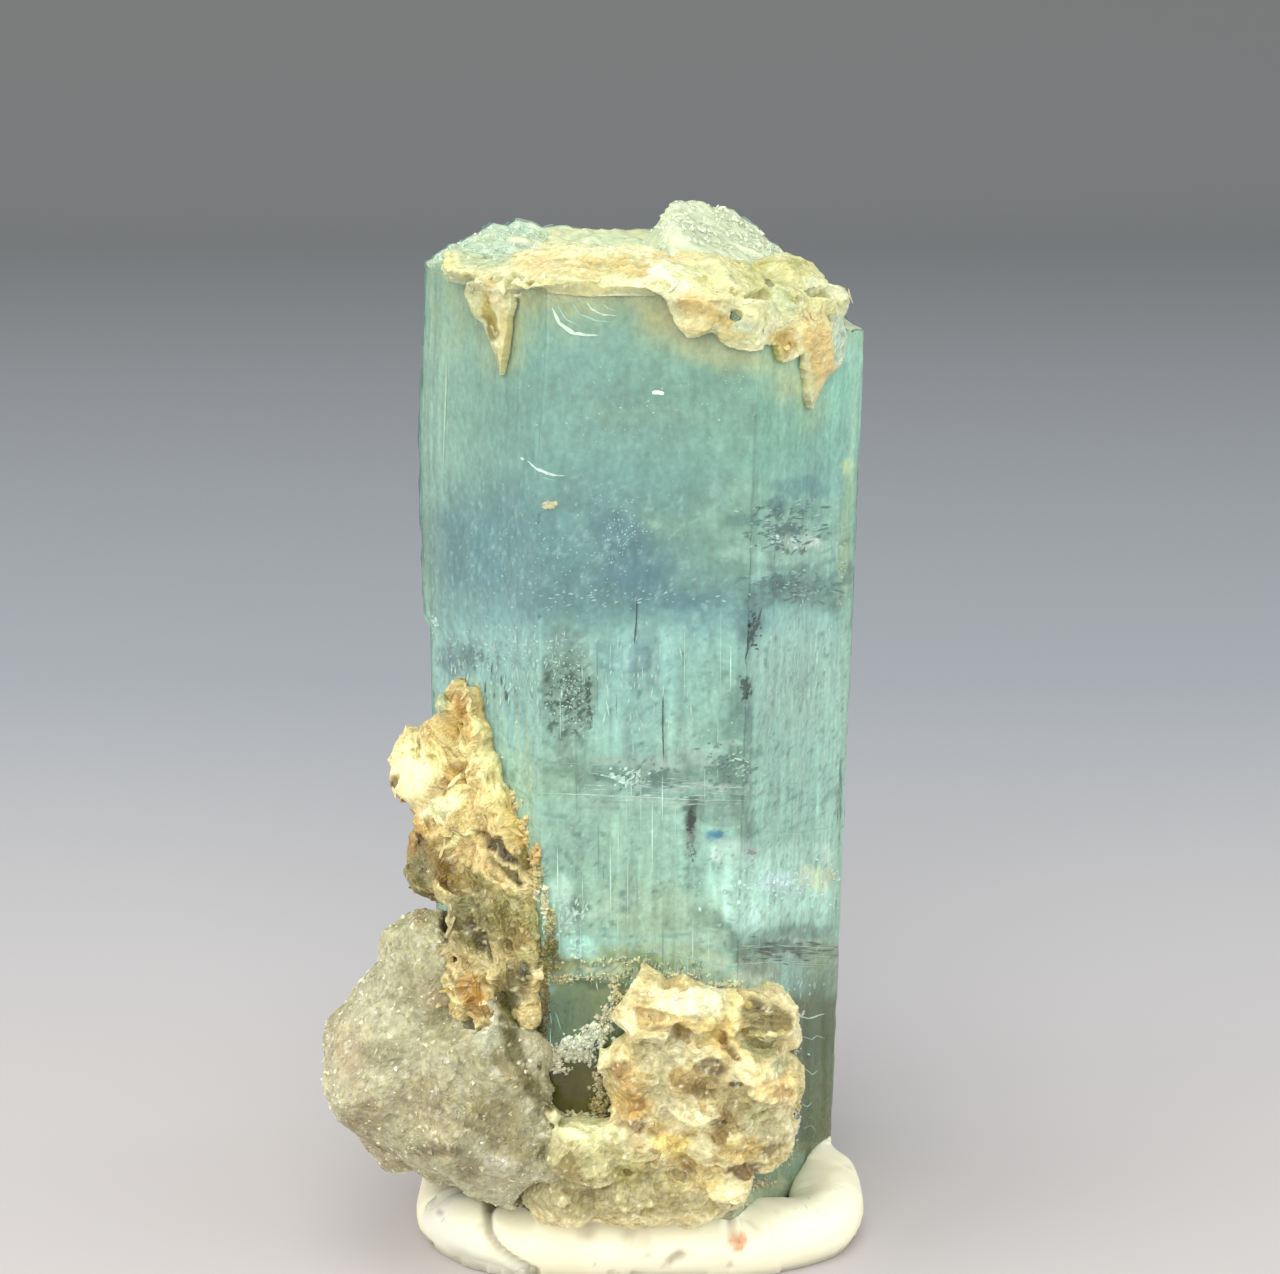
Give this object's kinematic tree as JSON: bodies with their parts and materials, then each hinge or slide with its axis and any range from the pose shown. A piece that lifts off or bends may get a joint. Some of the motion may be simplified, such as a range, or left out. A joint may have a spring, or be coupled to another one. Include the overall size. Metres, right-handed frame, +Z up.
{
  "type": "aquamarine crystal on matrix",
  "caption": "Upright hexagonal blue-green beryl prism with mica and feldspar crusts on its lower side and top, standing in a hand-rolled putty ring.",
  "frame": {"origin": "on the standing surface, under the middle of the whole specimen's box", "axes": "+Z up along the crystal, +X to the right as seen from the front, +Y to the back"},
  "size_m": [0.0222, 0.0182, 0.0416],
  "materials": {
    "aquamarine": "clear to milky blue-green crystal, smooth striated faces",
    "pale_crust": "fine cream and yellow mica and feldspar crust",
    "golden_mica": "golden flaky mica books with a pearly sheen",
    "albite": "sugary grey-white translucent feldspar",
    "matrix_crust": "cream, orange and grey crust of feldspar, quartz and mica",
    "putty": "matt cream display putty, hand rolled"
  },
  "bodies": {
    "root": {"aquamarine_crystal": "aquamarine", "top_mica_crust": "pale_crust", "left_mica_cluster": "golden_mica", "albite_lump": "albite", "front_matrix_crust": "matrix_crust", "putty_ring": "putty"}
  },
  "joints": []
}
